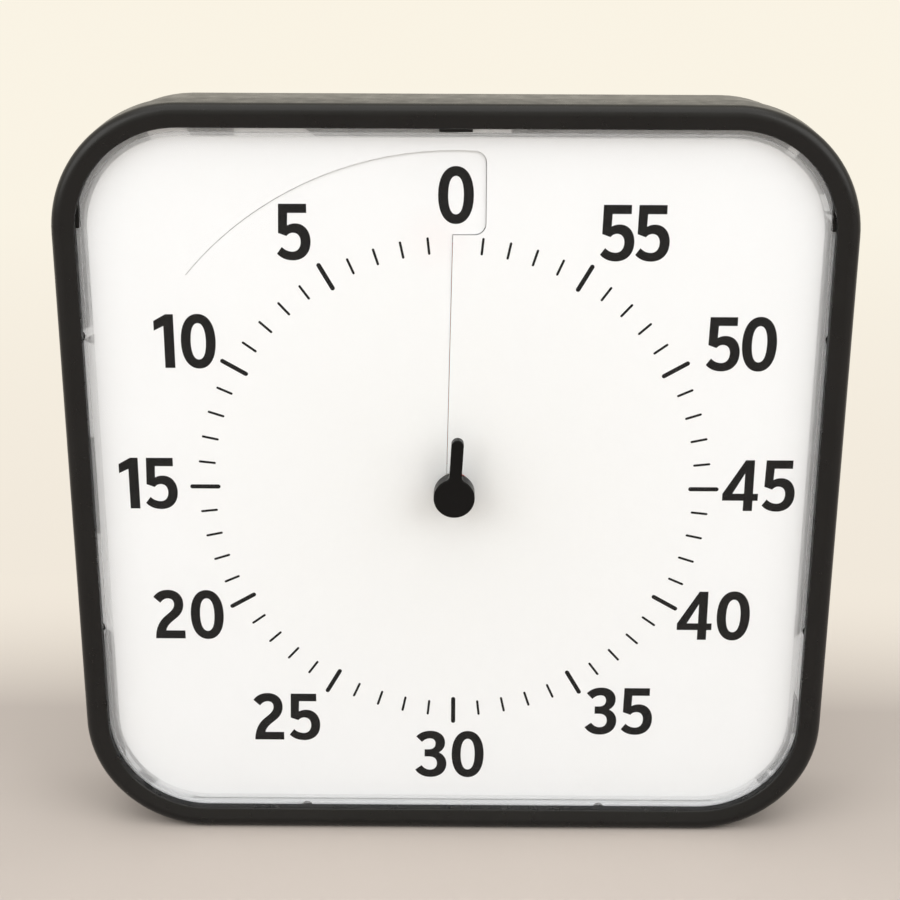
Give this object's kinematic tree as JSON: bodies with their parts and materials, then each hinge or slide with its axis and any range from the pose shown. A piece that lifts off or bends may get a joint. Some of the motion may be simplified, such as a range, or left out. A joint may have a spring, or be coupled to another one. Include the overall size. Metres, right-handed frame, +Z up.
{
  "type": "visual countdown timer",
  "caption": "Square wall and table timer with a white dial, a centre knob and a red disc that shows the minutes left.",
  "frame": {"origin": "middle of the flat base, in the plane of the dial's printed face", "axes": "+X to the right seen from the front, -Y out of the dial's face, +Z up"},
  "size_m": [0.305, 0.0573, 0.305],
  "materials": {
    "case_black": "satin moulded ABS",
    "clear_lens": "clear polished polycarbonate",
    "dial_white": "matt white printed sheet",
    "dial_ink": "matt charcoal print",
    "frame_grey": "moulded ABS",
    "steel": "zinc plated",
    "brass": "turned",
    "rubber": "soft matt",
    "disc_red": "matt vinyl",
    "nylon": "moulded nylon",
    "case_clear_grey": "moulded",
    "magnet": "sintered",
    "copper": "enamelled wire",
    "board_green": "solder resist",
    "chip_black": "epoxy",
    "cell_jacket": "plain shrink jacket",
    "wire_insulation": "PVC"
  },
  "bodies": {
    "case": {"front_bezel": "case_black", "lens": "clear_lens", "dial_sheet": "dial_white", "dial_numerals": "dial_ink", "dial_ticks": "dial_ink", "dial_frame": "frame_grey", "back_shell": "case_black", "bezel_screws": "steel", "case_screws": "steel", "rear_pads": "rubber", "foot_pin_left": "steel", "foot_pin_right": "steel", "hub_bush": "brass", "hub_nut": "brass", "movement_front_case": "case_clear_grey", "movement_rear_case": "case_clear_grey", "movement_screws": "steel", "wheel_posts": "steel", "stator": "steel", "coil_bobbin": "nylon", "coil_winding": "copper", "circuit_board": "board_green", "timer_chip": "chip_black", "quartz_crystal": "steel", "alarm_contact": "brass", "battery_tray": "case_black", "positive_contact": "steel", "negative_contact_plate": "steel", "negative_contact_spring": "steel", "battery": "cell_jacket", "switch_body": "case_clear_grey", "sounder_case": "case_clear_grey", "sounder_disc": "brass", "battery_wires": "wire_insulation", "sounder_wires": "wire_insulation", "switch_wires": "wire_insulation"},
    "timer": {"knob": "case_black", "disc_hub": "nylon", "red_disc": "disc_red", "arbor": "steel", "alarm_cam": "nylon", "clutch_spring": "steel"},
    "centre_wheel_body": {"centre_wheel": "nylon"},
    "third_wheel_body": {"third_wheel": "nylon"},
    "seconds_wheel_body": {"seconds_wheel": "nylon"},
    "fifth_wheel_body": {"fifth_wheel": "nylon"},
    "rotor": {"rotor_pinion": "nylon", "rotor_magnet": "magnet"},
    "battery_door_body": {"battery_door": "case_black"},
    "sound_switch_body": {"sound_switch": "case_black"},
    "foot_left_body": {"foot_left": "case_black"},
    "foot_right_body": {"foot_right": "case_black"}
  },
  "joints": [
    {"name": "timer_turn", "type": "hinge", "parent": "case", "child": "timer", "pos_m": [0, 0, 0.1525], "axis": [0, -1, 0], "range_deg": [0, 360]},
    {"name": "centre_spin", "type": "hinge", "parent": "case", "child": "centre_wheel_body", "pos_m": [0, 0.0113, 0.1525], "axis": [0, -1, 0], "continuous": true},
    {"name": "third_spin", "type": "hinge", "parent": "case", "child": "third_wheel_body", "pos_m": [-0.01203, 0.0141, 0.14812], "axis": [0, -1, 0], "continuous": true},
    {"name": "seconds_spin", "type": "hinge", "parent": "case", "child": "seconds_wheel_body", "pos_m": [-0.01438, 0.0159, 0.16147], "axis": [0, -1, 0], "continuous": true},
    {"name": "fifth_spin", "type": "hinge", "parent": "case", "child": "fifth_wheel_body", "pos_m": [-0.00447, 0.0177, 0.16507], "axis": [0, -1, 0], "continuous": true},
    {"name": "rotor_spin", "type": "hinge", "parent": "case", "child": "rotor", "pos_m": [0.00458, 0.02, 0.16507], "axis": [0, -1, 0], "continuous": true},
    {"name": "battery_door_hinge", "type": "hinge", "parent": "case", "child": "battery_door_body", "pos_m": [0, 0.0443, 0.0762], "axis": [-1, 0, 0], "range_deg": [0, 90]},
    {"name": "sound_switch_slide", "type": "slide", "parent": "case", "child": "sound_switch_body", "axis": [1, 0, 0], "range_m": [0, 0.004]},
    {"name": "foot_left_fold", "type": "hinge", "parent": "case", "child": "foot_left_body", "pos_m": [-0.092, 0.0405, 0.0043], "axis": [-1, 0, 0], "range_deg": [0, 90]},
    {"name": "foot_right_fold", "type": "hinge", "parent": "case", "child": "foot_right_body", "pos_m": [0.092, 0.0405, 0.0043], "axis": [-1, 0, 0], "range_deg": [0, 90]}
  ],
  "couplings": [
    {"joint": "third_spin", "follows": "seconds_spin", "ratio": -0.125},
    {"joint": "centre_spin", "follows": "seconds_spin", "ratio": 0.016667},
    {"joint": "fifth_spin", "follows": "seconds_spin", "ratio": -6},
    {"joint": "rotor_spin", "follows": "seconds_spin", "ratio": 30}
  ]
}
